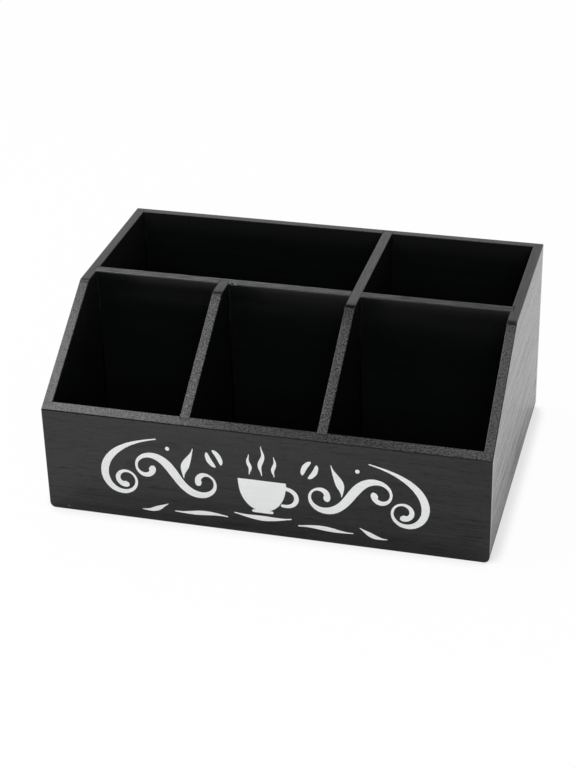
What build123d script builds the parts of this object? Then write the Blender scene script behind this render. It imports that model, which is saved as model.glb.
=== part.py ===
from build123d import *
import os

# A countertop organizer of thin painted boards: a box with five open bays in two rows.
# X runs along the front, Y to the back, Z up. The origin is under the middle of the box.

# Overall sizes, in millimetres
overall_width = 305.0
overall_depth = 211.0
overall_height = 133.0
front_height = 77.8
top_flat_length = 123.3

# Board thicknesses
panel_thickness = 6.1
side_thickness = 6.7
divider_thickness = 6.9
base_thickness = 6.1

# Clear widths of the front bays at the two ends of the box
left_bay_width = 89.3
right_bay_width = 102.3

# Roundings: the sanded outside, and the eased mouths of the bays
kink_radius = 5.0
foot_corner_radius = 4.0
front_arris_radius = 1.5
outer_ease = 0.8
mouth_ease = 0.5
middle_arris_radius = 1.2

# Joinery
end_rabbet_depth = 1.2
housing_depth = 1.6
deep_housing_depth = 3.2
lap_share = 0.5

# Brads, set below the surface and filled over
brad_length = 20.0
brad_wire_width = 1.2
brad_wire_thickness = 1.0
brad_head_width = 2.0
brad_head_height = 0.8
brad_tip_length = 1.2
brad_set_depth = 1.0
brad_clearance = 0.05
end_brad_inset = 14.0
side_brad_inset = 34.0

# How far a cutting solid runs past what it cuts
cut_overrun = 5.0

# Heights of the brads in the upright joints, as shares of the height of the board's end
front_corner_shares = (0.33, 0.74)
back_corner_shares = (0.22, 0.52, 0.84)
middle_end_shares = (0.3, 0.76)

# The planes that the boards share
outer_x = overall_width / 2
outer_y = overall_depth / 2
inner_x = outer_x - side_thickness
inner_y = outer_y - panel_thickness
kink_y = outer_y - top_flat_length
rail_end_y = inner_y + end_rabbet_depth
middle_front_y = -divider_thickness / 2
middle_rear_y = divider_thickness / 2
front_divider_x = -inner_x + left_bay_width
cross_divider_x = inner_x - right_bay_width - divider_thickness
lap_height = base_thickness + lap_share * (overall_height - base_thickness)


def block(low, high):
    """A box between two opposite corners."""
    size = [b - a for a, b in zip(low, high)]
    return Pos(*low) * Box(*size, align=(Align.MIN, Align.MIN, Align.MIN))


def outer_form():
    """The sanded outside of the whole box, which every board is cut to."""
    side_outline = Polyline(
        (-outer_y, 0),
        (outer_y, 0),
        (outer_y, overall_height),
        (kink_y, overall_height),
        (-outer_y, front_height),
        close=True,
    )
    profile = make_face(side_outline)
    by_depth = profile.vertices().sort_by(Axis.X)
    front_top = by_depth[0:2].sort_by(Axis.Y)[-1]
    rear_top = by_depth[-2:].sort_by(Axis.Y)[-1]
    profile = fillet(front_top, front_arris_radius)
    profile = fillet(profile.vertices().sort_by_distance(rear_top)[0], outer_ease)
    profile = fillet(profile.vertices().sort_by_distance((kink_y, overall_height))[0], kink_radius)
    along = extrude(Plane.YZ * profile, amount=outer_x, both=True)

    front_outline = Rectangle(overall_width, overall_height, align=(Align.CENTER, Align.MIN))
    front_outline = fillet(front_outline.vertices().group_by(Axis.Y)[0], foot_corner_radius)
    across = extrude(Plane.XZ * front_outline, amount=outer_y, both=True)

    form = along & across
    seams = form.edges().filter_by(Axis.X).group_by(Axis.Z)[1:]
    seams += form.edges().filter_by(Axis.Y).group_by(Axis.Z)[:-1]
    smooth = [edge for group in seams for edge in group]
    return fillet([edge for edge in form.edges() if edge not in smooth], outer_ease)


def mouth_edges(board, axis, place):
    """The edges round the top of a board's face that looks into a bay."""
    face = board.faces().filter_by(axis).sort_by_distance(place)[0]
    standing = face.edges().filter_by(Axis.Z)
    foot = face.edges().group_by(Axis.Z)[0]
    return [edge for edge in face.edges() if edge not in standing and edge not in foot]


def side_panel(form, hand):
    """A side: the kinked outline, with a housing for the end of the middle divider."""
    blank = block(
        (inner_x, -rail_end_y, 0),
        (outer_x, rail_end_y, overall_height),
    )
    board = form & blank
    board = fillet(mouth_edges(board, Axis.X, (inner_x, 0, overall_height / 2)), mouth_ease)
    board -= block(
        (inner_x - cut_overrun, middle_front_y, base_thickness),
        (inner_x + housing_depth, middle_rear_y, overall_height + cut_overrun),
    )
    return board if hand > 0 else mirror(board, Plane.YZ)


def end_rabbets(hand):
    """What the ends of the sides take out of the front (hand -1) or the back (hand 1)."""
    near, far = sorted((hand * rail_end_y, hand * inner_y))
    right = block(
        (inner_x, near, -cut_overrun),
        (outer_x + cut_overrun, far, overall_height + cut_overrun),
    )
    return right + mirror(right, Plane.YZ)


def divider_space(low_x, low_y, high_y):
    """The room of a divider that runs from front to back, open above."""
    return block(
        (low_x, low_y, base_thickness),
        (low_x + divider_thickness, high_y, overall_height + cut_overrun),
    )


def front_panel(form):
    """The front: bevelled in line with the slope, rabbeted at the ends, housed for two dividers."""
    blank = block(
        (-outer_x, -outer_y, 0),
        (outer_x, -inner_y, overall_height),
    )
    board = (form & blank) - end_rabbets(-1)
    board = fillet(mouth_edges(board, Axis.Y, (0, -inner_y, 0)), mouth_ease)
    for low_x in (front_divider_x, cross_divider_x):
        board -= divider_space(low_x, -inner_y - housing_depth, cut_overrun - inner_y)
    return board


def back_panel(form):
    """The back: rabbeted at the ends and housed for the cross divider."""
    blank = block(
        (-outer_x, inner_y, 0),
        (outer_x, outer_y, overall_height),
    )
    board = (form & blank) - end_rabbets(1)
    board = fillet(mouth_edges(board, Axis.Y, (0, inner_y, 0)), mouth_ease)
    board -= divider_space(cross_divider_x, inner_y - cut_overrun, inner_y + deep_housing_depth)
    return board


def base_panel():
    """The bottom, set in between the four walls and level with their feet."""
    return block(
        (-inner_x, -inner_y, 0),
        (inner_x, inner_y, base_thickness),
    )


def middle_divider(form):
    """The divider from side to side: notched from above for the cross divider."""
    end_x = inner_x + housing_depth
    blank = block(
        (-end_x, middle_front_y, base_thickness),
        (end_x, middle_rear_y, overall_height),
    )
    board = form & blank
    board = fillet(mouth_edges(board, Axis.Y, (0, middle_rear_y, 0)), mouth_ease)
    board = fillet(mouth_edges(board, Axis.Y, (0, middle_front_y, 0)), middle_arris_radius)
    notch = divider_space(cross_divider_x, middle_front_y - cut_overrun, middle_rear_y + cut_overrun)
    board -= notch & block(
        (-outer_x, -outer_y, lap_height),
        (outer_x, outer_y, overall_height + cut_overrun),
    )
    board -= divider_space(
        front_divider_x,
        middle_front_y - cut_overrun,
        middle_front_y + deep_housing_depth,
    )
    return board


def lengthwise_divider(form, low_x, rear_y):
    """A divider from the front panel back to rear_y, with the outline of the sides."""
    blank = block(
        (low_x, -inner_y - housing_depth, base_thickness),
        (low_x + divider_thickness, rear_y, overall_height),
    )
    board = form & blank
    for face_x in (low_x, low_x + divider_thickness):
        board = fillet(mouth_edges(board, Axis.X, (face_x, 0, overall_height / 2)), mouth_ease)
    return board


def cross_divider(form):
    """The divider from front to back: notched from below to lap over the middle divider."""
    board = lengthwise_divider(form, cross_divider_x, inner_y + deep_housing_depth)
    return board - block(
        (cross_divider_x - cut_overrun, middle_front_y, base_thickness - cut_overrun),
        (cross_divider_x + divider_thickness + cut_overrun, middle_rear_y, lap_height),
    )


def front_divider(form):
    """The short divider between the two left front bays, housed in the middle divider."""
    return lengthwise_divider(form, front_divider_x, middle_front_y + deep_housing_depth)


def flat_stock(points, thickness):
    """A solid cut from flat stock about the XZ plane, from its outline of (width, depth) points."""
    return extrude(Plane.XZ * make_face(Polyline(*points, close=True)), amount=thickness / 2, both=True)


def brad_solid():
    """A brad of rectangular wire: a T head sunk below the surface at depth zero, a chisel point."""
    head_top = brad_set_depth
    head_foot = head_top + brad_head_height
    point_start = brad_length - brad_tip_length
    outline = (
        (-brad_head_width / 2, head_top),
        (brad_head_width / 2, head_top),
        (brad_head_width / 2, head_foot),
        (brad_wire_width / 2, head_foot),
        (brad_wire_width / 2, point_start),
        (0, brad_length),
        (-brad_wire_width / 2, point_start),
        (-brad_wire_width / 2, head_foot),
        (-brad_head_width / 2, head_foot),
    )
    return flat_stock(outline, brad_wire_thickness)


def brad_hole():
    """The room that a driven brad and its filler take in the boards."""
    wide = brad_head_width / 2 + brad_clearance
    narrow = brad_wire_width / 2 + brad_clearance
    head_foot = brad_set_depth + brad_head_height + brad_clearance
    bottom = brad_length + brad_clearance
    outline = (
        (-wide, -cut_overrun),
        (wide, -cut_overrun),
        (wide, head_foot),
        (narrow, head_foot),
        (narrow, bottom),
        (-narrow, bottom),
        (-narrow, head_foot),
        (-wide, head_foot),
    )
    return flat_stock(outline, brad_wire_thickness + 2 * brad_clearance)


def filler_solid():
    """The plug of wood filler over a brad's head, level with the surface."""
    return Box(
        brad_head_width,
        brad_wire_thickness,
        brad_set_depth,
        align=(Align.CENTER, Align.CENTER, Align.MIN),
    )


def corner_places(hand, shares, end_height):
    """Brads through the front or back into the ends of the two sides."""
    centre_x = outer_x - side_thickness / 2
    return [
        Plane((side * centre_x, hand * outer_y, share * end_height), x_dir=(1, 0, 0), z_dir=(0, -hand, 0))
        for side in (-1, 1)
        for share in shares
    ]


def base_places_across(hand):
    """Brads through the front or back into the edge of the base."""
    reach = outer_x - end_brad_inset
    return [
        Plane((x, hand * outer_y, base_thickness / 2), x_dir=(1, 0, 0), z_dir=(0, -hand, 0))
        for x in (-reach, 0, reach)
    ]


def side_places(hand):
    """Brads through a side into the edge of the base and the end of the middle divider."""
    reach = inner_y - side_brad_inset
    spots = [(y, base_thickness / 2) for y in (-reach, reach)]
    spots += [(0, share * overall_height) for share in middle_end_shares]
    return [
        Plane((hand * outer_x, y, z), x_dir=(0, 1, 0), z_dir=(-hand, 0, 0))
        for y, z in spots
    ]


form = outer_form()

boards = {
    "front_panel": front_panel(form),
    "back_panel": back_panel(form),
    "left_side_panel": side_panel(form, -1),
    "right_side_panel": side_panel(form, 1),
    "base_panel": base_panel(),
    "middle_divider": middle_divider(form),
    "cross_divider": cross_divider(form),
    "front_divider": front_divider(form),
}

# Each wall's brads: where they enter, and the boards that they pass into
nailing = {
    "front": (
        corner_places(-1, front_corner_shares, front_height) + base_places_across(-1),
        ("front_panel", "left_side_panel", "right_side_panel", "base_panel"),
    ),
    "back": (
        corner_places(1, back_corner_shares, overall_height) + base_places_across(1),
        ("back_panel", "left_side_panel", "right_side_panel", "base_panel"),
    ),
    "left_side": (
        side_places(-1),
        ("left_side_panel", "base_panel", "middle_divider"),
    ),
    "right_side": (
        side_places(1),
        ("right_side_panel", "base_panel", "middle_divider"),
    ),
}

nodes = {}
for wall, (places, nailed) in nailing.items():
    holes = Compound([place * brad_hole() for place in places])
    for name in nailed:
        boards[name] -= holes
    nodes[wall + "_brads"] = Compound([place * brad_solid() for place in places])
    plugs = [(place * filler_solid()) & form for place in places]
    nodes[wall + "_brad_filler"] = Compound(plugs)

nodes.update(boards)

os.makedirs("parts", exist_ok=True)
for name, solid in nodes.items():
    export_step(solid, f"parts/{name}.step")
    print(name, round(solid.volume, 1))
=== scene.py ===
import math

import bpy
import numpy as np
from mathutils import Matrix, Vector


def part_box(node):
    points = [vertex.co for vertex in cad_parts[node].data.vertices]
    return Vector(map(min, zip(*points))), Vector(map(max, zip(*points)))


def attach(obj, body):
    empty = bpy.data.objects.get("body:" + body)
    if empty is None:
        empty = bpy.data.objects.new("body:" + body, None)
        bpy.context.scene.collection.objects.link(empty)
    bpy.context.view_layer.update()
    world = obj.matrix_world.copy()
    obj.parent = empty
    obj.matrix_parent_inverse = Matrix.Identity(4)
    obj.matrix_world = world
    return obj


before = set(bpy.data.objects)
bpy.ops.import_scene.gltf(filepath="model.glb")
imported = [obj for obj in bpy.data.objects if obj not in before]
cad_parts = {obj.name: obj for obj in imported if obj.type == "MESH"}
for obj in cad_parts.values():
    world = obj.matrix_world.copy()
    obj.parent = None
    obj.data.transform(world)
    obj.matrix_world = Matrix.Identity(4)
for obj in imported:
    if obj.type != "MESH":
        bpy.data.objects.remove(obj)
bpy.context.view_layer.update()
mm = 0.001


def boxMm(name):
    # A board's lowest and highest corner in mm
    return [[round(part / mm, 3) for part in corner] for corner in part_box(name)]


class Wire:
    # One output socket of a node tree. Sums on it add Math nodes to the same tree.
    def __init__(self, tree, socket=None):
        self.tree, self.socket = tree, socket

    def node(self, kind, settings=None, inputs=None, output=0):
        # Any node: its type, its settings, the values or links of its sockets
        made = self.tree.nodes.new("ShaderNode" + kind)
        for name, value in (settings or {}).items():
            setattr(made, name, value)
        for name, value in (inputs or {}).items():
            if isinstance(value, Wire):
                self.tree.links.new(value.socket, made.inputs[name])
            else:
                made.inputs[name].default_value = value
        return Wire(self.tree, made.outputs[output])

    def maths(self, operation, *values):
        return self.node("Math", {"operation": operation}, dict(enumerate(values)))

    def __add__(self, other):
        return self.maths("ADD", self, other)

    __radd__ = __add__

    def __sub__(self, other):
        return self.maths("SUBTRACT", self, other)

    def __rsub__(self, other):
        return self.maths("SUBTRACT", other, self)

    def __mul__(self, other):
        return self.maths("MULTIPLY", self, other)

    __rmul__ = __mul__

    def __neg__(self):
        return self * -1

    def __abs__(self):
        return self.maths("ABSOLUTE", self)

    def step(self, low, high):
        # 0 below low, 1 above high, with a soft S between
        settings = {"interpolation_type": "SMOOTHSTEP"}
        return self.node("MapRange", settings, {"Value": self, "From Min": low, "From Max": high})

    def between(self, start, full, fade, end):
        # 0 up to start, 1 from full to fade and 0 again past end
        return self.step(start, full) * (1 - self.step(fade, end))

    def swing(self, spread):
        # From half a spread below zero to half a spread above it as this goes from 0 to 1
        return (self - 0.5) * spread

    def about(self, middle, spread):
        return middle + self.swing(spread)

    def clamped(self):
        return self.node("Clamp", None, {"Value": self})

    def axes(self):
        return [self.node("SeparateXYZ", None, {0: self}, k) for k in range(3)]

    def stretched(self, factors, shift=(0, 0, 0)):
        settings = {"operation": "MULTIPLY_ADD"}
        return self.node("VectorMath", settings, {0: self, 1: factors, 2: shift})

    def noise(self, detail=2.0, roughness=0.5):
        inputs = {"Vector": self, "Scale": 1.0, "Detail": detail, "Roughness": roughness}
        return self.node("TexNoise", None, inputs)

    def colour(self, start, end):
        # From one colour to another as this goes from 0 to 1
        settings = {"data_type": "RGBA"}
        return self.node("Mix", settings, {0: self, 6: start, 7: end}, 2)


def newMaterial(name):
    material = bpy.data.materials.new(name)
    material.use_nodes = True
    material.node_tree.nodes.clear()
    return material, Wire(material.node_tree)


def finishMaterial(wire, shader):
    output = wire.tree.nodes.new("ShaderNodeOutputMaterial")
    wire.tree.links.new(shader.socket, output.inputs["Surface"])


def inMm(wire):
    # A point's place on the object, in mm
    return wire.node("TexCoord", None, None, "Object").stretched((1 / mm,) * 3)


def bumped(wire, height):
    # The normal of a surface with this relief, in mm
    return wire.node("Bump", None, {"Height": height, "Distance": mm})


# The camera stands where the photograph was taken from

cameraPlace = {
    "location": (0.29661, -1.10287, 0.69889),
    "turn": (1.0593218, 0.0222735, 0.2583636),
    "lens": 87.344,
}


def makeCamera(place):
    lens = bpy.data.cameras.new("camera")
    lens.lens = place["lens"]
    camera = bpy.data.objects.new("camera", lens)
    camera.location = place["location"]
    camera.rotation_euler = place["turn"]
    bpy.context.collection.objects.link(camera)
    bpy.context.scene.camera = camera


makeCamera(cameraPlace)
bpy.context.scene.view_settings.view_transform = "Standard"
print("camera placed")


# A pale floor, the light of a white backdrop, a softbox on the left and a weaker one ahead on the right.
# Lengths are in metres. Directions are parts of a unit vector, from where a mask starts to where it is full.

studio = {
    "white": (1, 1, 1, 1),
    "floor": {
        "size": 8.0,
        "colour": (0.9, 0.9, 0.9, 1),
        "seenWhite": 0.97,
        "samples": 8,
        # Its painted shadow where the box meets it, ahead and on the right, how far that reaches and how open
        # it is
        "contactShadow": (0.86, 0.86, 0.86, 1),
        "contactShadowRight": (0.6, 0.6, 0.6, 1),
        "contactSide": (0.145, 0.16),
        "contactWidth": 0.02,
        "contactOpen": (0.45, 0.78),
        # The same as gloss shows it, with a painted shadow: close to the box, close on its right and away
        # from it
        "mirroredNear": (0.38, 0.38, 0.38, 1),
        "mirroredRight": (0.56, 0.56, 0.56, 1),
        "mirroredFar": (0.98, 0.98, 0.98, 1),
        "mirroredSide": (0.14, 0.151, 0.176),
        "mirroredWidth": 0.12,
        "mirroredOpen": (0.45, 0.95),
        # How much painted shade dims it in gloss ahead on the right, and right beside the box
        "fallAhead": 0.3,
        "fallAcross": (-0.16, 0.2),
        "fallBack": (-0.13, -0.05),
        "fallBeside": 0.035,
        "besideAcross": (0.14, 0.17),
    },
    "world": {
        # The backdrop's light, which way it lies, up to what height, and how much dimmer it is on the right
        "backdrop": 0.92,
        "backward": (-0.15, 0.35),
        "low": (0.72, 0.93),
        "rightFall": 0.24,
        "rightward": (-0.24, -0.08),
        # The room's light above the backdrop, and ahead
        "dim": 0.13,
        "front": 0.12,
        "backFromFront": (-0.5, 0.0),
        # The light overhead, and its share ahead of the top
        "overhead": 1.95,
        "high": (0.95, 0.998),
        "overheadAhead": 0.2,
        "overheadBack": (-0.2, 0.0),
    },
    "softbox": {"azimuth": -100, "elevation": 58, "distance": 1.7, "size": (1.3, 0.8), "radiance": 4.0},
    "fill": {"azimuth": 160, "elevation": 32, "distance": 2.2, "size": (1.2, 1.2), "radiance": 4.4},
}


def rays(wire, *kinds):
    return [wire.node("LightPath", None, None, "Is %s Ray" % kind) for kind in kinds]


def makeWorld(settings, white):
    world = bpy.data.worlds.new("studio")
    world.use_nodes = True
    world.node_tree.nodes.clear()
    wire = Wire(world.node_tree)
    x, y, z = wire.node("TexCoord", None, None, "Generated").axes()
    back = y.step(*settings["backward"])
    low = 1 - z.step(*settings["low"])
    ahead = settings["overheadAhead"]
    high = z.step(*settings["high"]) * (ahead + (1 - ahead) * y.step(*settings["overheadBack"]))
    side = 1 - x.step(*settings["rightward"]) * settings["rightFall"]
    light = settings["front"] + (settings["dim"] - settings["front"]) * y.step(*settings["backFromFront"])
    light = light + (settings["backdrop"] - settings["dim"]) * back * low * side
    light = light + (settings["overhead"] - settings["dim"]) * high
    camera, transmission = rays(wire, "Camera", "Transmission")
    lit = wire.node("Background", None, {"Color": white, "Strength": light})
    plain = wire.node("Background", None, {"Color": white, "Strength": 1.0})
    mixed = wire.node("MixShader", None, {0: (camera + transmission).clamped(), 1: lit, 2: plain})
    output = wire.tree.nodes.new("ShaderNodeOutputWorld")
    wire.tree.links.new(mixed.socket, output.inputs["Surface"])
    bpy.context.scene.world = world


def makeSoftbox(name, settings):
    # An area lamp's power is pi times its area times its radiance
    width, height = settings["size"]
    lamp = bpy.data.lights.new(name, "AREA")
    lamp.shape = "RECTANGLE"
    lamp.size, lamp.size_y = width, height
    lamp.energy = math.pi * width * height * settings["radiance"]
    holder = bpy.data.objects.new(name, lamp)
    azimuth, elevation = math.radians(settings["azimuth"]), math.radians(settings["elevation"])
    away = (
        math.sin(azimuth) * math.cos(elevation),
        math.cos(azimuth) * math.cos(elevation),
        math.sin(elevation),
    )
    holder.location = [settings["distance"] * part for part in away]
    holder.rotation_euler = (math.pi / 2 - elevation, 0, math.pi - azimuth)
    holder.visible_camera = False
    bpy.context.collection.objects.link(holder)


def openness(wire, width, settings):
    inputs = {"Distance": width}
    return wire.node("AmbientOcclusion", {"samples": settings["samples"]}, inputs, "AO")


def floorPaint(settings, white):
    material, wire = newMaterial("whiteFloor")
    x, y, z = wire.node("TexCoord", None, None, "Object").axes()
    lit = wire.node("BsdfDiffuse", None, {"Color": settings["colour"]})

    # As the camera sees it: white, with a soft painted shadow along the box
    contactShadow = x.step(*settings["contactSide"]).colour(settings["contactShadow"], settings["contactShadowRight"])
    free = openness(wire, settings["contactWidth"], settings).step(*settings["contactOpen"])
    bright = wire.node("Emission", None, {"Color": free.colour(contactShadow, white)})
    seen = wire.node("MixShader", None, {0: settings["seenWhite"], 1: lit, 2: bright})

    # As gloss shows it: white away from the box, with a painted shadow near it and painted shade ahead on the
    # right
    start, wall, far = settings["mirroredSide"]
    tone = x.step(start, wall).colour(settings["mirroredNear"], settings["mirroredRight"])
    tone = x.step(wall, far).colour(tone, settings["mirroredFar"])
    free = openness(wire, settings["mirroredWidth"], settings).step(*settings["mirroredOpen"])
    tone = free.colour(tone, settings["mirroredFar"])
    across, back = x.step(*settings["fallAcross"]), y.step(*settings["fallBack"])
    fall = 1 - across * (1 - back) * settings["fallAhead"]
    fall = fall * (1 - x.step(*settings["besideAcross"]) * settings["fallBeside"])
    mirrored = wire.node("Emission", None, {"Color": tone, "Strength": fall})

    camera, glossy, transmission = rays(wire, "Camera", "Glossy", "Transmission")
    plain = wire.node("MixShader", None, {0: camera, 1: lit, 2: seen})
    above = wire.node("MixShader", None, {0: (glossy + transmission).clamped(), 1: plain, 2: mirrored})
    below = wire.node("NewGeometry", None, None, "Backfacing")
    finishMaterial(wire, wire.node("MixShader", None, {0: below, 1: above, 2: wire.node("BsdfTransparent")}))
    return material


def makeFloor(settings, white):
    half = settings["size"] / 2
    mesh = bpy.data.meshes.new("floor")
    corners = [(-half, -half, 0), (half, -half, 0), (half, half, 0), (-half, half, 0)]
    mesh.from_pydata(corners, [], [(0, 1, 2, 3)])
    mesh.materials.append(floorPaint(settings, white))
    floor = bpy.data.objects.new("floor", mesh)
    bpy.context.collection.objects.link(floor)


makeWorld(studio["world"], studio["white"])
makeSoftbox("softbox", studio["softbox"])
makeSoftbox("fill", studio["fill"])
makeFloor(studio["floor"], studio["white"])
print("studio lit")


# Satin black paint over wood. Lengths are in mm.

paint = {
    "black": (0.0037, 0.0043, 0.0043, 1),
    # The thin colour also serves as painted light on inner faces towards their top
    "thin": (0.016, 0.016, 0.0162, 1),     # where the film outside lies thinner
    # The worn colour also serves as painted highlight on light patches and rounded front edges
    "worn": (0.075, 0.075, 0.078),         # flecks of sanded, half-filled grain
    "bare": (0.22, 0.215, 0.205, 1),       # the wood in a chip
    # The cavity colour also carries the painted shade of the boards and the beads
    "cavityAndShade": (0.001, 0.001, 0.001, 1),    # seams, pits and pores, which have no gloss
    "ior": 1.5,
    # Patterns: the length of a cell along the grain, its width, the noise's detail and its roughness
    "fibre": (40.0, 1.5, 4, 0.65),
    "band": (170.0, 6.0, 2, 0.5),
    "dash": (6.5, 0.75, 2, 0.5),
    "skin": (1.6, 1.6, 4, 0.65),           # the film's mottling
    "grit": (1.4, 0.7, 3, 0.7),            # specks of the sanded slopes
    "ridge": (13.0, 0.8, 3, 0.6),          # streaks on the narrow tops
    # How far they stand out, and what share of that shows where it is less than whole
    "fibreRelief": 0.03,
    "skinRelief": 0.03,
    "gritRelief": 0.05,
    "dashDepth": 0.02,
    "holeDepth": 0.15,
    "insideFibre": 0.2,
    "topFibre": 0.4,
    "insideSkin": 0.3,
    "arrisGrit": 0.4,
    # The film's tone: the parts of skin, band and fibre in it, and its share inside
    "filmParts": (0.4, 0.3, 0.3),
    "insideFilm": 0.15,
    # Light flecks on the arrises, and how much painted highlight shows between the ridges of a top's light
    # patches and of its front edge
    "arrisFlecks": 0.3,
    "highlightBetween": 0.3,
    "edgeBetween": 0.6,
    # Roughness, what it gains on slopes and chips and loses inside, and how much it varies
    "roughness": 0.2,
    "slopeRoughness": 0.06,
    "arrisRoughness": 0.5,
    "chipRoughness": 0.3,
    "insideGloss": 0.04,
    "bandVaries": 0.1,
    "skinVaries": 0.08,
    # Depths of dark tone: the lip's painted shade, then specks, pores, dashes and worn streaks
    "lipShade": 0.5,
    "gritTone": (0.6, 0.3),     # and what speckle adds
    "poreTone": (1.7, 1.2),     # at the foot, and how much less near the top
    "dashTone": 0.3,
    "wornTone": 0.36,
    "kinkWanders": 1.5,         # how far the lines at the kink wander, mm
    "speckCells": 1.1,          # specks of a foot per mm
    # Chips and pits as (x, y, z, radius)
    "chips": [(-48.2, -2.6, 132.9, 0.7), (-46.9, -3.4, 132.4, 0.7), (-45.0, -3.0, 132.7, 0.95),
              (-44.0, -3.4, 132.4, 0.6)],
    "pits": [(-47.2, -2.4, 133.0, 0.8), (-46.2, -3.3, 132.6, 0.7), (41.6, -62.0, 104.5, 0.8),
             (38.1, -45.0, 115.2, 0.7)],
}

# Where each mask starts and where it is full: by direction, by pattern, and by height or place
maskStops = {
    "up": (0.7, 0.8),
    "slope": (0.28, 0.36),
    "lipAhead": (0.72, 0.84),
    "lipUp": (0.1, 0.3),
    "arris": (0.12, 0.3),
    "sawn": (-0.6, -0.5, -0.5, -0.4),
    "roundedAhead": (0.05, 0.3),
    "roundedUp": (0.1, 0.4),
    "outer": (0.5, 0.9),
    "dash": (0.6, 0.7),
    "film": (0.38, 0.66),
    "flecks": (0.4, 0.6),
    "speckle": (0.12, 0.06),    # what speckle adds to the two stops of the flecks
    "grit": (0.3, 0.44),
    "pores": (0.36, 0.47),
    "ridge": (0.48, 0.62),
    "highlightRidges": (0.4, 0.55),
    "worn": (0.38, 0.5),
    "frontEdge": (20, 60),
    "poreHeight": (15, 100),
    # The kink's three painted shades, in mm ahead of the middle of the box. The last ends further on by its
    # reach.
    "kinkSoft": (11.5, 18.5, 18.5, 19.5),
    "kinkLine": (17.2, 18.6, 19.0, 20.2),
    "kinkPast": (18.8, 19.6, 20.0),
    # Low on a face outside: painted shade ahead, and dark streaks further back
    "footHeight": (4, 45),
    "footBack": (10, 50),
    "footPores": (0.4, 0.52),
    "footPoreHeight": (5, 60),
    "footPoreBack": (-50, 20, 40, 80),
    "specks": (0.42, 0.58),
}

# Each board: the axis of its grain, where its pattern starts, how glossy it is and which way is outside.
# fibre is its own size of that pattern, streak how dark its pores are, topStreak how streaked its top is.
# kink: how much further ahead the bend looks, how dark its painted shade is up to there, in it and past it,
# and how far.
# Dark patches: painted shade on the front's strip and the middle divider's right end, and a thin dark line on
# the right side's slope. Light patches: painted highlight. Both are (x, y, half x, half y, softness,
# strength).
# Painted light inside, or painted shade: two heights, and how much lighter an inner face gets between them,
# or darker below zero.
# frontEdge: how light the painted highlight on the rounded front edge of a top is, on the left and on the
# right.
# Painted shade on the top: how much darker the flat top and the slope are. speckle makes the slope's flecks
# fewer and stronger.
# foot: how much painted shade darkens the face outside low down ahead, and how dark it is in streaks further
# back and in specks all over.
plainBoard = {
    "outward": None, "streak": 0.14, "topStreak": 0.2, "insideShading": (0, 1, 0), "speckle": 0, "stainsAndShade": [],
}
boards = {
    "front_panel": {
        "grain": 0, "shift": (3.1, 7.7, 1.3), "shine": 0.48, "outward": (0, -1, 0),
        "fibre": (26, 1.05, 4, 0.65), "streak": 0.13,
        # Painted shade over the middle and right of the top strip
        "stainsAndShade": [(30, -102, 15, 3.4, 95, 0.36)],
    },
    "back_panel": {
        "grain": 0, "shift": (41.0, 2.2, 9.4), "shine": 0.44, "outward": (0, 1, 0),
        # Painted highlight on the right half of the top
        "insideShading": (114, 132, 0.6), "paintedHighlights": [(110, 102.6, 40, 3.4, 40, 0.22)],
    },
    "left_side_panel": {
        "grain": 1, "shift": (5.3, 61.0, 4.2), "shine": 0.5, "outward": (-1, 0, 0),
        "fibre": (90, 1.9, 4, 0.65), "streak": 0.22,
        "kink": {"further": 0.8, "soft": 0.16, "line": 0.36, "past": 0.26, "reach": 45},
        "insideShading": (60, 125, 0.5), "paintedTopShade": (0.04, 0.02),
    },
    "right_side_panel": {
        "grain": 1, "shift": (17.0, 23.0, 14.0), "shine": 0.56, "outward": (1, 0, 0),
        "fibre": (90, 1.9, 4, 0.65), "streak": 0.3,
        "kink": {"further": 0.5, "soft": 0.18, "line": 0.6, "past": 0.25, "reach": 5},
        "paintedTopShade": (0.06, 0.05), "foot": {"ahead": 0.16, "pores": 0.2, "specks": 0.1},
        "stainsAndShade": [(149.1, -24.8, 3.4, 0, 0.6, 0.2)],
    },
    "base_panel": {"grain": 0, "shift": (77.0, 12.0, 3.0), "shine": 0.5, "outward": (0, 0, -1)},
    "middle_divider": {
        "grain": 0, "shift": (90.0, 31.0, 8.0), "shine": 0.5, "topStreak": 0.75,
        "insideShading": (116, 130, -0.38), "frontEdge": (0.95, 0.55),
        # Painted highlight along the top's edges
        "paintedHighlights": [(-60, 3.1, 75, 0.2, 0.8, 0.9), (98, -3.1, 38, 0.2, 0.8, 0.9)],
        # Painted shade on the right end of the top
        "stainsAndShade": [(100, 0, 30, 3.4, 45, 0.2)],
    },
    "cross_divider": {
        "grain": 1, "shift": (21.0, 45.0, 6.0), "shine": 0.555,
        "kink": {"further": 0, "soft": 0.36, "line": 0.5, "past": 0.3, "reach": 20},
        "insideShading": (100, 130, 0.3), "paintedTopShade": (0, 0.13), "speckle": 0.3,
    },
    "front_divider": {
        "grain": 1, "shift": (9.0, 83.0, 2.0), "shine": 0.5,
        "kink": {"further": -0.1, "soft": 0.28, "line": 0.36, "past": 0.14, "reach": 8},
        "paintedTopShade": (0.06, 0.02), "speckle": 0.6,
    },
}

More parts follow.
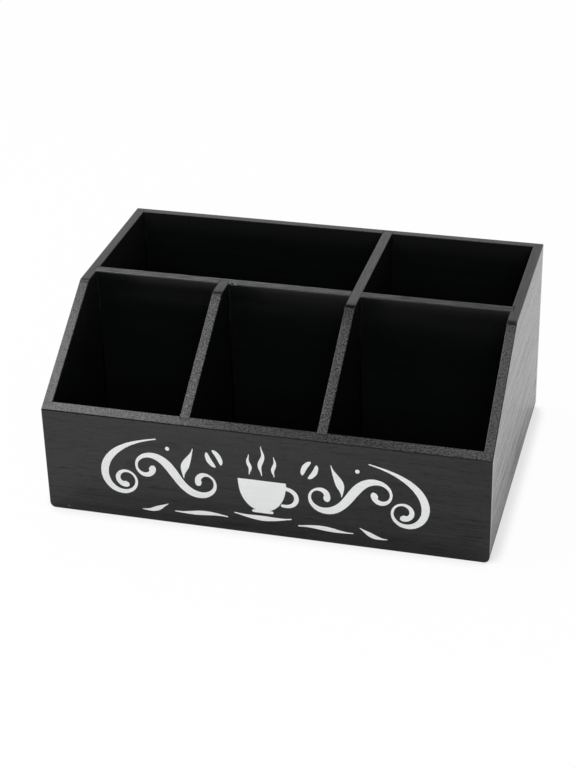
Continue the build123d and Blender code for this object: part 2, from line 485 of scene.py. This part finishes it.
# Where a board is let into another: the board, the one that takes it, along which axis and at which end,
# the softness and tone of the seam at its end, and the same for the short seams beside it, where these show
joints = [
    ("left_side_panel", "front_panel", 1, 0, (0.3, 0.25)),
    ("right_side_panel", "front_panel", 1, 0, (0.3, 0.3)),
    ("front_divider", "front_panel", 1, 0, (0.35, 0.4)),
    ("cross_divider", "front_panel", 1, 0, (0.35, 0.5)),
    ("left_side_panel", "back_panel", 1, 1, (0.3, 0.4)),
    ("right_side_panel", "back_panel", 1, 1, (0.3, 0.4)),
    ("cross_divider", "back_panel", 1, 1, (0.35, 0.6), (0.3, 0.6)),
    ("middle_divider", "left_side_panel", 0, 0, (0.35, 0.5), (0.3, 0.6)),
    ("middle_divider", "right_side_panel", 0, 1, (0.4, 0.8), (0.4, 0.8)),
    ("front_divider", "middle_divider", 1, 1, (0.35, 0.4), (0.3, 0.6)),
]

# Where one board runs over another: both, and the softness and tone of the seams on its left and right
laps = [("cross_divider", "middle_divider", (0.35, 0.5), (0.35, 0.4))]


def seamsOn(name):
    # The lines where a board meets others, seen from above: (x, y, half x, half y, softness, tone)
    found = []
    for board, host, axis, end, *looks in joints:
        if name not in (board, host):
            continue
        box = boxMm(board)
        place = [(low + high) / 2 for low, high in zip(*box)][:2]
        half = [(high - low) / 2 for low, high in zip(*box)][:2]
        place[axis], half[axis] = box[end][axis], 0
        found.append((*place, *half, *looks[0]))
        if name == host and len(looks) > 1:
            face = boxMm(host)[1 - end][axis]
            for corner in box:
                place = [corner[0], corner[1]]
                half = [0, 0]
                place[axis] = (box[end][axis] + face) / 2
                half[axis] = abs(box[end][axis] - face) / 2
                found.append((*place, *half, *looks[1]))
    for over, under, *looks in laps:
        if name == under:
            (_, front, _), (_, back, _) = boxMm(under)
            for corner, look in zip(boxMm(over), looks):
                found.append((corner[0], (front + back) / 2, 0, (back - front) / 2, *look))
    return found


def total(parts):
    # The sum of several masks, kept between 0 and 1
    if not parts:
        return 0.0
    whole = parts[0]
    for part in parts[1:]:
        whole = whole + part
    return whole.clamped()


def near(spot, skin, places):
    # Ragged balls round some places: (x, y, z, radius). They start to fade at 0.6 of the radius.
    balls = []
    for cx, cy, cz, radius in places:
        whole = radius * 0.6
        far = spot.node("VectorMath", {"operation": "DISTANCE"}, {0: spot, 1: (cx, cy, cz)}, 1)
        balls.append(1 - (far + skin.swing(radius)).step(whole, radius))
    return total(balls)


def patches(x, y, places):
    # Soft rectangles seen from above: (x, y, half x, half y, softness, strength). They fade over the softness
    # outside their edge, and are still whole over a fifth of it.
    found = []
    for cx, cy, hx, hy, soft, strength in places:
        whole = soft * 0.2
        here = (1 - abs(x - cx).step(hx + whole, hx + soft)) * (1 - abs(y - cy).step(hy + whole, hy + soft))
        found.append(here * strength)
    return total(found)


def grainNoise(place, grain, pattern):
    # Noise in cells of a length along the grain and a width across
    length, width, detail, roughness = pattern
    factors = [1 / length if axis == grain else 1 / width for axis in range(3)]
    return place.stretched(factors).noise(detail, roughness)


def surfaceMasks(wire, board):
    # By which way the surface looks: up, from a sawn slope, from the front's lip, from an edge eased along
    # the grain, outside, and from the rounded front edge of a top
    normal = wire.node("TexCoord", None, None, "Normal")
    nx, ny, nz = normal.axes()
    up = nz.step(*maskStops["up"])
    slope = (-ny * nz).step(*maskStops["slope"]) * up
    lip = (-ny).step(*maskStops["lipAhead"]) * nz.step(*maskStops["lipUp"])
    edge = abs(nx * nz) + abs(nx * ny) if board["grain"] else abs(ny * nz)
    arris = edge.step(*maskStops["arris"]) * (1 - up * ny.between(*maskStops["sawn"]))
    outer = rounded = 0.0
    if board["outward"]:
        facing = wire.node("VectorMath", {"operation": "DOT_PRODUCT"}, {0: normal, 1: board["outward"]}, 1)
        outer = facing.step(*maskStops["outer"])
    if "frontEdge" in board:
        rounded = (-ny).step(*maskStops["roundedAhead"]) * nz.step(*maskStops["roundedUp"])
    return up, slope, lip, arris, outer, rounded


def kinkShades(kink, y, skin, up, settings):
    # Painted shade on the top: it darkens gently up to the bend, has a dark line in it and sometimes a shade
    # past it
    ahead = skin.swing(settings["kinkWanders"]) - kink["further"] - y
    past = maskStops["kinkPast"]
    return [
        ahead.between(*maskStops["kinkSoft"]) * up * kink["soft"],
        ahead.between(*maskStops["kinkLine"]) * up * kink["line"],
        ahead.between(*past, past[-1] + kink["reach"]) * up * kink["past"],
    ]


# Painted shade low down ahead on a face outside, with dark streaks further back and specks all over
def footShades(foot, place, fibre, y, z, outer, settings):
    specks = place.stretched((settings["speckCells"],) * 3).noise().step(*maskStops["specks"])
    low = (1 - z.step(*maskStops["footHeight"])) * (1 - y.step(*maskStops["footBack"]))
    pores = (1 - fibre.step(*maskStops["footPores"])) * (1 - z.step(*maskStops["footPoreHeight"]))
    pores = pores * y.between(*maskStops["footPoreBack"])
    return [low * outer * foot["ahead"], (1 - specks) * outer * foot["specks"], pores * outer * foot["pores"]]


def paintedWood(name, board, settings):
    material, wire = newMaterial("paintedWood." + name)
    spot = inMm(wire)
    place = spot.stretched((1, 1, 1), board["shift"])
    x, y, z = spot.axes()
    patterns = ("fibre", "band", "dash", "skin", "grit", "ridge")
    sizes = [board.get(pattern, settings[pattern]) for pattern in patterns]
    fibre, band, dash, skin, grit, ridge = [grainNoise(place, board["grain"], size) for size in sizes]
    dash = dash.step(*maskStops["dash"])
    up, slope, lip, arris, outer, rounded = surfaceMasks(wire, board)
    flat = up * (1 - slope)
    # Dark seams at the joints, the right side's dark line, and painted shade in dark patches
    seamsAndShade = patches(x, y, seamsOn(name) + board["stainsAndShade"]) * up
    chip, pit = near(spot, skin, settings["chips"]), near(spot, skin, settings["pits"])

    def outside(share):
        # Only a share inside, and the whole outside
        return share + (1 - share) * outer

    fibrous = outside(settings["insideFibre"]) + settings["topFibre"] * up
    relief = fibre.swing(settings["fibreRelief"]) * fibrous
    relief = relief - dash * settings["dashDepth"] * outer
    relief = relief + skin.swing(settings["skinRelief"]) * outside(settings["insideSkin"])
    sanded = (slope + arris * settings["arrisGrit"]).clamped()
    relief = relief + sanded * grit.swing(settings["gritRelief"])
    relief = relief - (seamsAndShade + chip + pit) * settings["holeDepth"]

    # The film, thinner in places outside, and painted light towards the top of some inner faces
    skinPart, bandPart, fibrePart = settings["filmParts"]
    film = skin * skinPart + band * bandPart + fibre * fibrePart
    film = film.step(*maskStops["film"]) * outside(settings["insideFilm"])
    base = film.colour(settings["black"], settings["thin"])
    low, high, lighter = board["insideShading"]
    upperInsideShading = z.step(low, high) * (1 - up) * (1 - outer)
    if lighter > 0:
        base = (upperInsideShading * lighter).colour(base, settings["thin"])

    # Light flecks where sanding went through it, and painted highlight on light patches of some tops and on a
    # top's rounded front edge
    speckle = board["speckle"]
    stops = [stop + more * speckle for stop, more in zip(maskStops["flecks"], maskStops["speckle"])]
    flecks = (slope + arris * settings["arrisFlecks"]).clamped() * grit.step(*stops)
    flecks = flecks + flat * ridge.step(*maskStops["ridge"]) * board["topStreak"]
    ridged = ridge.step(*maskStops["highlightRidges"])
    if "paintedHighlights" in board:
        between = settings["highlightBetween"]
        flecks = flecks + patches(x, y, board["paintedHighlights"]) * up * (between + (1 - between) * ridged)
    if "frontEdge" in board:
        left, right = board["frontEdge"]
        between = settings["edgeBetween"]
        light = left + (right - left) * x.step(*maskStops["frontEdge"])
        flecks = flecks + rounded * light * (between + (1 - between) * ridged)
    base = flecks.clamped().colour(base, [part * (1 + speckle) for part in settings["worn"]] + [1])
    base = chip.colour(base, settings["bare"])

    rough = settings["roughness"] - settings["insideGloss"] * (1 - outer) * (1 - up)
    rough = rough + band.swing(settings["bandVaries"]) + skin.swing(settings["skinVaries"])
    sanded = (slope + arris * settings["arrisRoughness"]).clamped()
    rough = rough + sanded * settings["slopeRoughness"] + chip * settings["chipRoughness"]
    coated = wire.node("BsdfPrincipled", None, {
        "Base Color": base, "Roughness": rough, "Normal": bumped(wire, relief),
        "IOR": settings["ior"], "Specular IOR Level": board["shine"],
    })

    # What is dark and has no gloss: seams, pits, pores and streaks, and painted shade
    atFoot, less = settings["poreTone"]
    pores = (1 - fibre.step(*maskStops["pores"])) * board["streak"]
    pores = pores * (atFoot - less * z.step(*maskStops["poreHeight"]))
    coarse, added = settings["gritTone"]
    shades = [
        seamsAndShade,
        pit,
        # Painted shade along the front panel's rounded top edge
        lip * outer * settings["lipShade"],
        slope * (1 - grit.step(*maskStops["grit"])) * (coarse + added * speckle),
        (pores + dash * settings["dashTone"]) * outer,
        flat * (1 - ridge.step(*maskStops["worn"])) * board["topStreak"] * settings["wornTone"],
    ]
    if "kink" in board:
        shades += kinkShades(board["kink"], y, skin, up, settings)
    if "foot" in board:
        shades += footShades(board["foot"], place, fibre, y, z, outer, settings)
    # Painted shade on an inner face towards its top
    if lighter < 0:
        shades.append(upperInsideShading * -lighter)
    # Painted shade over the flat top and the slope
    if "paintedTopShade" in board:
        onFlat, onSlope = board["paintedTopShade"]
        shades.append(up * (onFlat + (onSlope - onFlat) * slope))
    furrowAndShade = wire.node("BsdfDiffuse", None, {"Color": settings["cavityAndShade"]})
    finishMaterial(wire, wire.node("MixShader", None, {0: total(shades), 1: coated, 2: furrowAndShade}))
    return material


def dress(name, material):
    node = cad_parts[name]
    node.data.materials.clear()
    node.data.materials.append(material)


for name, board in boards.items():
    dress(name, paintedWood(name, {**plainBoard, **board}, paint))
print("boards painted")


# The sunk brads and the filler over their heads. Cells are counted per mm, noise is its detail and its
# roughness, and a surface's roughness is its middle and how much it varies.

fixings = {
    "steel": (0.55, 0.54, 0.53, 1),
    "dull": (0.3, 0.29, 0.28, 1),
    "steelCells": 2.2,
    "steelNoise": (3, 0.6),
    "steelStops": (0.4, 0.6),
    "steelRelief": 0.01,
    "steelRoughness": (0.3, 0.3),
    "filler": (0.007, 0.007, 0.0072, 1),
    # The filler's dusty grains
    "dustAndShade": (0.03, 0.03, 0.03, 1),
    "fillerCells": 2.5,
    "fillerNoise": (3, 0.7),
    "fillerStops": (0.35, 0.65),
    "fillerRelief": 0.06,
    "fillerRoughness": (0.34, 0.2),
    # One plug that the paint covers less, as (x, y, z, radius)
    "pale": (-138.5, -105.5, 3.05, 2.4),
    "paleShare": 0.5,
    "paleColour": (0.12, 0.12, 0.12, 1),
}


def steelWire(settings):
    material, wire = newMaterial("steelWire")
    drawn = inMm(wire).stretched((settings["steelCells"],) * 3).noise(*settings["steelNoise"])
    finishMaterial(wire, wire.node("BsdfPrincipled", None, {
        "Base Color": drawn.step(*settings["steelStops"]).colour(settings["dull"], settings["steel"]),
        "Metallic": 1.0, "Roughness": drawn.about(*settings["steelRoughness"]),
        "Normal": bumped(wire, drawn.swing(settings["steelRelief"])),
    }))
    return material


def paintedFiller(settings):
    material, wire = newMaterial("paintedFiller")
    spot = inMm(wire)
    grains = spot.stretched((settings["fillerCells"],) * 3).noise(*settings["fillerNoise"])
    base = grains.step(*settings["fillerStops"]).colour(settings["filler"], settings["dustAndShade"])
    pale = near(spot, grains, [settings["pale"]]) * settings["paleShare"]
    finishMaterial(wire, wire.node("BsdfPrincipled", None, {
        "Base Color": pale.colour(base, settings["paleColour"]),
        "Roughness": grains.about(*settings["fillerRoughness"]),
        "Normal": bumped(wire, grains.swing(settings["fillerRelief"])), "IOR": paint["ior"],
    }))
    return material


steel, filler = steelWire(fixings), paintedFiller(fixings)
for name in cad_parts:
    if name.endswith("brads"):
        dress(name, steel)
    elif name.endswith("filler"):
        dress(name, filler)
print("brads and filler finished")


def ringFaces(count, ring, hand):
    # Quads between one ring of points and the next, and a cap at each end. A hand of -1 turns them round.
    a = np.arange(count - 1)[:, None] * ring + np.arange(ring)
    b = np.arange(count - 1)[:, None] * ring + (np.arange(ring) + 1) % ring
    quads = np.stack([a, b, b + ring, a + ring], 2).reshape(-1, 4)[:, ::hand].tolist()
    last = (count - 1) * ring
    return quads + [list(range(ring))[::-hand], list(range(last, last + ring))[::hand]]


def makePiece(name, shells, material):
    # One object out of several closed shells: (points, faces)
    points, faces, start = [], [], 0
    for places, polygons in shells:
        points.append(places)
        faces += [[corner + start for corner in polygon] for polygon in polygons]
        start += len(places)
    mesh = bpy.data.meshes.new(name)
    mesh.from_pydata(np.concatenate(points).tolist(), [], faces)
    mesh.validate()
    mesh.materials.append(material)
    piece = bpy.data.objects.new(name, mesh)
    bpy.context.collection.objects.link(piece)
    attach(piece, "root")
    print(name, "made:", len(mesh.polygons), "faces")


# Beads of glue under the paint, in the upright corners of the bays. Lengths are in mm.

beads = {
    "radius": 1.3,
    "sink": 0.06,
    "around": 9,
    "step": 2.0,
    "clearance": 0.05,              # over the base
    "fade": 6,                      # how far below its top a bead starts to narrow
    "leastFade": 0.004,
    "wave": (0.1, 0.23, 0.11),      # how much the radius waves, and its two turns per mm
    # Each bay: the boards on its left and right, ahead and behind, and how high its beads go: ahead on the
    # left and on the right, then behind
    "bays": [
        ("left_side_panel", "front_divider", "front_panel", "middle_divider", (78, 77, 129, 130)),
        ("front_divider", "cross_divider", "front_panel", "middle_divider", (78, 77, 131, 130)),
        ("cross_divider", "right_side_panel", "front_panel", "middle_divider", (78, 77, 131, 129)),
        ("left_side_panel", "cross_divider", "middle_divider", "back_panel", (130, 129, 129, 130)),
        ("cross_divider", "right_side_panel", "middle_divider", "back_panel", (130, 129, 130, 130)),
    ],
    # The paint on them: cells per mm in x, y and z, and the painted shade that darkens it further down
    "cells": (0.5, 0.5, 0.12),
    "stops": (0.35, 0.65),
    "relief": 0.1,
    "roughness": (0.36, 0.2),
    "dull": 0.6,
    "dustAndShade": 0.38,
    "shadeHeight": (65, 118),
    "shadeWanders": 30,
}


def bayCorners(bays):
    # (x, y, which way the bay opens in x and y, the bead's top)
    corners = []
    for left, right, ahead, behind, tops in bays:
        xs = boxMm(left)[1][0], boxMm(right)[0][0]
        ys = boxMm(ahead)[1][1], boxMm(behind)[0][1]
        for k, top in enumerate(tops):
            corners.append((xs[k % 2], ys[k // 2], 1 - 2 * (k % 2), 1 - 2 * (k // 2), top))
    return corners


def beadShell(corner, settings):
    # Upright at height z, round by angle a: r - r sin a and r - r cos a away from the two boards. The radius
    # r is narrowed by sqrt(1 - (1 - d/f)^2) at d below the top, within the fade f, and is scaled by
    # 1 - w + w times a sine and a cosine of z.
    cx, cy, sx, sy, top = corner
    foot = boxMm("base_panel")[1][2] + settings["clearance"]
    z = np.linspace(foot, top, int((top - foot) / settings["step"]))
    ease = np.sqrt(1 - (1 - np.clip((top - z) / settings["fade"], settings["leastFade"], 1)) ** 2)
    wave, quick, slow = settings["wave"]
    radius = settings["radius"] * ease * (1 - wave + wave * np.sin(z * quick + cx) * np.cos(z * slow + cy))
    angle = np.linspace(0, np.pi / 2, settings["around"])
    off = np.concatenate([1 - np.sin(angle), [0]])
    rise = np.concatenate([1 - np.cos(angle), [0]])
    out = off[None, :] * radius[:, None] - settings["sink"] * np.isclose(off, 0)
    away = rise[None, :] * radius[:, None] - settings["sink"] * np.isclose(rise, 0)
    points = np.stack([cx + sx * out, cy + sy * away, z[:, None] + 0 * out], 2) * mm
    return points.reshape(-1, 3), ringFaces(len(z), len(off), sx * sy)


def beadPaint(settings):
    material, wire = newMaterial("beadPaint")
    place = inMm(wire)
    lumps = place.stretched(settings["cells"]).noise()
    z = place.axes()[2]
    coated = wire.node("BsdfPrincipled", None, {
        "Base Color": lumps.step(*settings["stops"]).colour(paint["black"], paint["thin"]),
        "Roughness": lumps.about(*settings["roughness"]),
        "Normal": bumped(wire, lumps.swing(settings["relief"])), "IOR": paint["ior"],
    })
    dull = wire.node("BsdfDiffuse", None, {"Color": paint["cavityAndShade"]})
    # Painted shade on the beads further down
    unshaded = (z + lumps.swing(settings["shadeWanders"])).step(*settings["shadeHeight"])
    share = settings["dull"] + settings["dustAndShade"] * (1 - unshaded)
    finishMaterial(wire, wire.node("MixShader", None, {0: share, 1: coated, 2: dull}))
    return material


beadShells = [beadShell(corner, beads) for corner in bayCorners(beads["bays"])]
makePiece("corner_beads", beadShells, beadPaint(beads))


# The painted ornament on the front: scrolls on both sides of a steaming cup. Lengths are in mm.
# A stroke runs from its start to its end, both (x, z), and a twin has a mirror image. bend is how many
# degrees it would turn over its whole length, and width how wide it is, both at shares of its length.

steam = {"bend": [(0, 230), (0.33, -230), (0.67, 230), (1, -230)]}
bean = {"width": [(0, 1.5), (0.25, 3.1), (0.5, 3.6), (0.75, 3.1), (1, 1.5)], "twin": True}
straight = [(0, 0), (1, 0)]
ornament = {
    "lift": 0.07,          # how far the paint stands out, and the share of it at a stroke's edge
    "edgeLift": 0.4,
    "sink": 0.02,
    "step": 0.7,           # spacing of stations along a stroke
    "fewest": 12,
    "trial": 50,           # stations that its length is measured with
    "across": 7,
    "leastHalf": 0.04,
    "strokes": [
        {"start": (42.5, 33), "end": (77, 43.5), "twin": True,
         "bend": [(0, 1700), (0.1, 1150), (0.24, 720), (0.38, 430), (0.49, 60), (0.54, -60), (0.64, -430),
                  (0.77, -720), (0.9, -1150), (1, -1800)],
         "width": [(0, 5.2), (0.05, 4), (0.14, 1.6), (0.4, 5.6), (0.56, 6.4), (0.84, 1.8), (0.94, 3.6),
                   (1, 5.6)]},
        {"start": (72, 65), "end": (93.5, 28), "twin": True,
         "bend": [(0, -30), (0.25, -170), (0.45, -400), (0.7, -760), (0.88, -1150), (1, -1800)],
         "width": [(0, 0.9), (0.4, 5.4), (0.8, 1.6), (0.93, 3.4), (1, 5)]},
        {"start": (54, 37), "end": (47, 61), "twin": True,
         "bend": [(0, 90), (0.5, 40), (1, -100)], "width": [(0, 0.6), (0.4, 5.6), (1, 0.5)]},
        {"start": (62, 10), "end": (24, 10.5), "twin": True,
         "bend": [(0, -60), (0.45, 10), (0.8, 40), (1, 0)], "width": [(0, 0.7), (0.5, 3.4), (1, 0.9)]},
        {"start": (66, 15), "end": (85, 8.5), "twin": True,
         "bend": [(0, -30), (0.5, 60), (1, 60)], "width": [(0, 0.6), (0.45, 3.4), (1, 0.6)]},
        {"start": (63.2, 58.5), "end": (66.2, 58.5), "twin": True,
         "bend": straight, "width": [(0, 3), (1, 3)]},
        {"start": (27.7, 50.5), "end": (33.7, 61.5), "bend": [(0, -56), (1, -56)], **bean},
        {"start": (31.5, 48.5), "end": (37.5, 59.5), "bend": [(0, 56), (1, 56)], **bean},
        {"start": (8.5, 46), "end": (8.5, 62), "twin": True,
         "width": [(0, 0.5), (0.45, 2.6), (1, 0.5)], **steam},
        {"start": (0, 46), "end": (0, 69), "width": [(0, 0.6), (0.45, 3.2), (1, 0.6)], **steam},
        # The cup, round below and flat above, its foot, its handle and the saucer
        {"start": (0, 18.5), "end": (0, 42.5), "rounded": 1, "bend": straight, "width": [(0, 27), (1, 33)]},
        {"start": (-7.5, 18.2), "end": (7.5, 18.2), "bend": straight, "width": [(0, 2.2), (1, 2.2)]},
        {"start": (14.8, 38.5), "end": (12.5, 25), "bend": [(0, -60), (0.3, -250), (0.7, -230), (1, -60)],
         "width": [(0, 2.8), (0.5, 3.2), (1, 2.2)]},
        {"start": (-20, 15), "end": (20, 15), "bend": [(0, 24), (1, 24)],
         "width": [(0, 0.8), (0.5, 3.8), (1, 0.8)]},
    ],
    # White paint. The fibre is a pattern as in the black paint, and specks are as the filler's grains.
    "white": (0.9, 0.905, 0.91, 1),
    "shade": (0.8, 0.805, 0.81, 1),
    "fibre": (40.0, 1.5, 3, 0.5),
    "speckCells": 1.2,
    "speckNoise": (3, 0.7),
    "speckShare": 0.6,
    "stops": (0.25, 0.6),
    "fibreRelief": 0.04,
    "speckRelief": 0.02,
    "roughness": (0.45, 0.2),
}


def easedKnots(share, knots):
    # Between two knots the value follows an S: low plus the rise times 3tt - 2ttt
    places, values = map(np.array, zip(*knots))
    k = np.clip(np.searchsorted(places, share, side="right") - 1, 0, len(places) - 2)
    t = np.clip((share - places[k]) / (places[k + 1] - places[k]), 0, 1)
    return values[k] + (values[k + 1] - values[k]) * t * t * (3 - 2 * t)


def penPath(stroke, count):
    # The heading is the running sum of the bend, and the place is the running sum of the heading,
    # then turned and scaled so that the line runs from its start to its end
    share = np.linspace(0, 1, count)
    bend = np.radians(np.interp(share, *zip(*stroke["bend"])))
    turn = np.concatenate([[0], np.cumsum((bend[1:] + bend[:-1]) / 2)]) / (count - 1)
    line = np.concatenate([[0], np.cumsum(np.exp(0.5j * (turn[1:] + turn[:-1])))])
    start, end = complex(*stroke["start"]), complex(*stroke["end"])
    fit = (end - start) / line[-1]
    return start + line * fit, turn + np.angle(fit), share, abs(fit) * (count - 1)


def strokeShell(stroke, hand, settings):
    # A point at share s and t from -1 to 1 across is the pen's place plus t half widths sideways, raised by
    # the lift times e + (1 - e) sqrt(1 - tt), with e the edge's share. Round ends narrow it as a circle does.
    length = penPath(stroke, settings["trial"])[3]
    count = max(settings["fewest"], int(length / settings["step"]))
    place, turn, share, length = penPath(stroke, count)
    half = easedKnots(share, stroke["width"]) / 2
    for far in (share * length, (1 - share) * length)[:stroke.get("rounded", 2)]:
        inward = np.minimum(far / half, 1)
        half = np.maximum(half * np.sqrt(1 - (1 - inward) ** 2), settings["leastHalf"])
    t = np.linspace(-1, 1, settings["across"])
    t = np.concatenate([t, [1, -1]])
    flat = place[:, None] + 1j * np.exp(1j * turn)[:, None] * half[:, None] * t
    edge = settings["edgeLift"]
    out = settings["lift"] * (edge + (1 - edge) * np.sqrt(1 - t ** 2))
    out[-2:] = -settings["sink"]
    face = boxMm("front_panel")[0][1]
    points = np.stack([flat.real * hand, face - out + 0 * flat.real, flat.imag], 2) * mm
    return points.reshape(-1, 3), ringFaces(count, len(t), hand)


def whitePaint(settings):
    material, wire = newMaterial("whitePaint")
    place = inMm(wire)
    fibre = grainNoise(place, 0, settings["fibre"])
    speck = place.stretched((settings["speckCells"],) * 3).noise(*settings["speckNoise"])
    share = settings["speckShare"]
    base = (speck * share + fibre * (1 - share)).step(*settings["stops"])
    relief = fibre.swing(settings["fibreRelief"]) + speck.swing(settings["speckRelief"])
    finishMaterial(wire, wire.node("BsdfPrincipled", None, {
        "Base Color": base.colour(settings["shade"], settings["white"]),
        "Roughness": speck.about(*settings["roughness"]), "Normal": bumped(wire, relief), "IOR": paint["ior"],
    }))
    return material


strokes = [
    strokeShell(stroke, hand, ornament)
    for stroke in ornament["strokes"]
    for hand in (1, -1)[:1 + stroke.get("twin", False)]
]
makePiece("painted_ornament", strokes, whitePaint(ornament))
